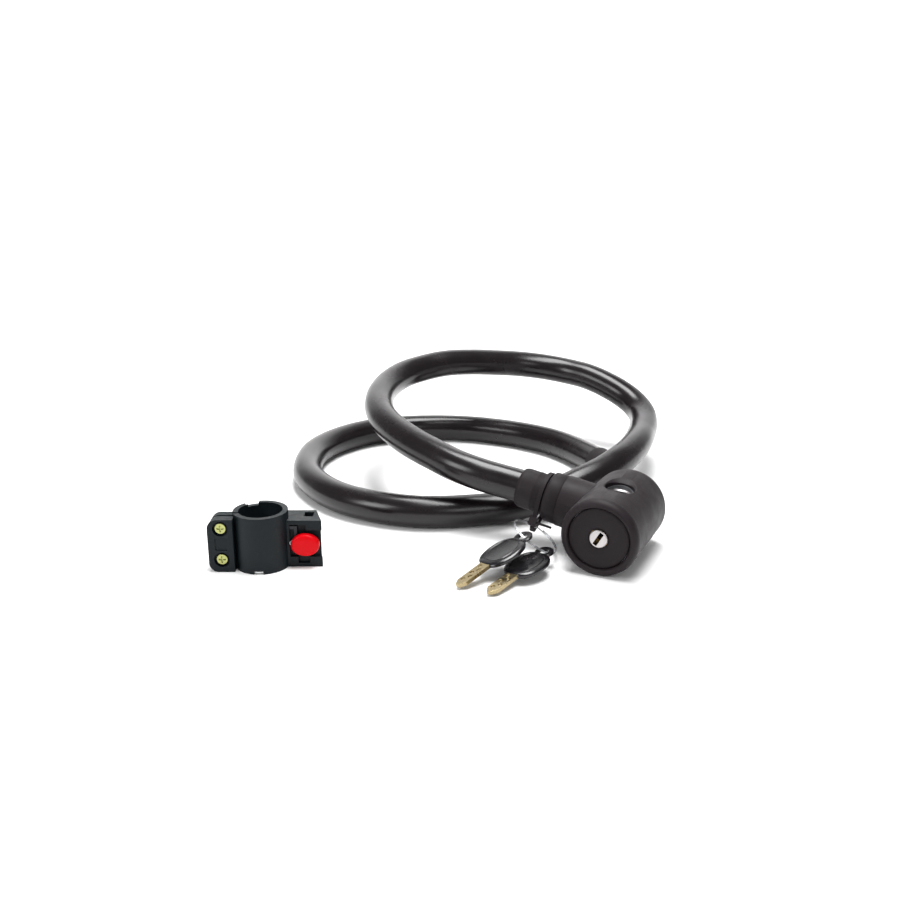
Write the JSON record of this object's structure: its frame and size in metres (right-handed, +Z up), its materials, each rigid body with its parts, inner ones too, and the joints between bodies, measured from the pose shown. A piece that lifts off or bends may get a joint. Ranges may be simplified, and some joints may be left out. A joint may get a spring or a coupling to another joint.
{
  "type": "cable lock",
  "caption": "Keyed cable lock: thick covered cable, cylindrical lock head with bolt socket, keys on a wire ring, and a tube clamp bracket.",
  "frame": {"origin": "middle of the footprint of the head, keys and bracket, on the surface they lie on", "axes": "+Z up; +X from the bracket towards the lock head; +Y away from the key face side"},
  "size_m": [0.2581, 0.2769, 0.068],
  "materials": {
    "black_abs": "satin moulded",
    "black_rubber": "matte moulded",
    "black_vinyl": "gloss extruded",
    "bracket_nylon": "satin moulded",
    "zinc": "die cast",
    "steel": "plated",
    "brass": "turned",
    "nickel": "nickel plated",
    "yellow_zinc": "yellow zinc plated",
    "red_plastic": "gloss moulded"
  },
  "bodies": {
    "lock": {"head_cover": "black_abs", "head_core": "zinc", "face_bezel": "black_abs", "face_disc": "black_rubber", "tumbler_housing": "brass", "socket_liner": "steel", "mounting_lug": "bracket_nylon", "lug_screws": "steel", "port_collar": "black_rubber", "fixed_ferrule": "steel", "ferrule_pin": "steel", "fixed_sleeve": "black_rubber", "wire_rope_ends": "steel", "cable": "black_vinyl", "free_sleeve": "black_rubber", "free_ferrule": "steel", "locking_bolt": "nickel", "key_tie": "black_rubber"},
    "plug": {"key_plug": "nickel", "tumbler_wafers": "brass", "wafer_springs": "steel", "plug_cam": "steel", "cam_screw": "steel"},
    "latch_bar": {"latch": "steel", "latch_spring": "steel"},
    "ring": {"key_ring": "steel"},
    "key_1": {"key_head_1": "black_abs", "key_blade_1": "nickel"},
    "key_2": {"key_head_2": "black_abs", "key_blade_2": "nickel"},
    "bracket": {"bracket_body": "bracket_nylon", "clamp_screws": "yellow_zinc", "clamp_nuts": "yellow_zinc", "block_cover": "bracket_nylon", "cover_screws": "steel"},
    "button": {"release_button": "red_plastic", "catch_plate": "steel", "button_spring": "steel"}
  },
  "joints": [
    {"name": "key_plug_turn", "type": "hinge", "parent": "lock", "child": "plug", "pos_m": [0.08034, -0.01239, 0.0201], "axis": [-0.4337, -0.9011, 0], "range_deg": [0, 90]},
    {"name": "latch_slide", "type": "slide", "parent": "lock", "child": "latch_bar", "axis": [-0.8961, 0.4313, 0.1045], "range_m": [0, 0.003]},
    {"name": "ring_swing", "type": "hinge", "parent": "lock", "child": "ring", "pos_m": [0.04799, 0.0165, 0.01237], "axis": [-0.8299, -0.0068, 0.5578], "range_deg": [0, 10]},
    {"name": "key_1_round_ring", "type": "hinge", "parent": "ring", "child": "key_1", "pos_m": [0.04756, 0.00351, 0.01158], "axis": [-0.5569, 0.0689, -0.8277], "range_deg": [0, 25]},
    {"name": "key_2_swing", "type": "hinge", "parent": "ring", "child": "key_2", "pos_m": [0.0514, -0.0084, 0.008], "axis": [-0.7764, -0.3971, 0.4893], "range_deg": [0, 15]},
    {"name": "bracket_lift", "type": "slide", "parent": "lock", "child": "bracket", "axis": [0, 0, 1], "range_m": [0, 0.1]},
    {"name": "button_press", "type": "slide", "parent": "bracket", "child": "button", "axis": [0, 1, 0], "range_m": [0, 0.002], "stiffness_N_per_m": 400, "springref_m": -0.004}
  ],
  "couplings": [
    {"joint": "latch_slide", "follows": "key_plug_turn", "m_per_rad": 0.0018907}
  ]
}
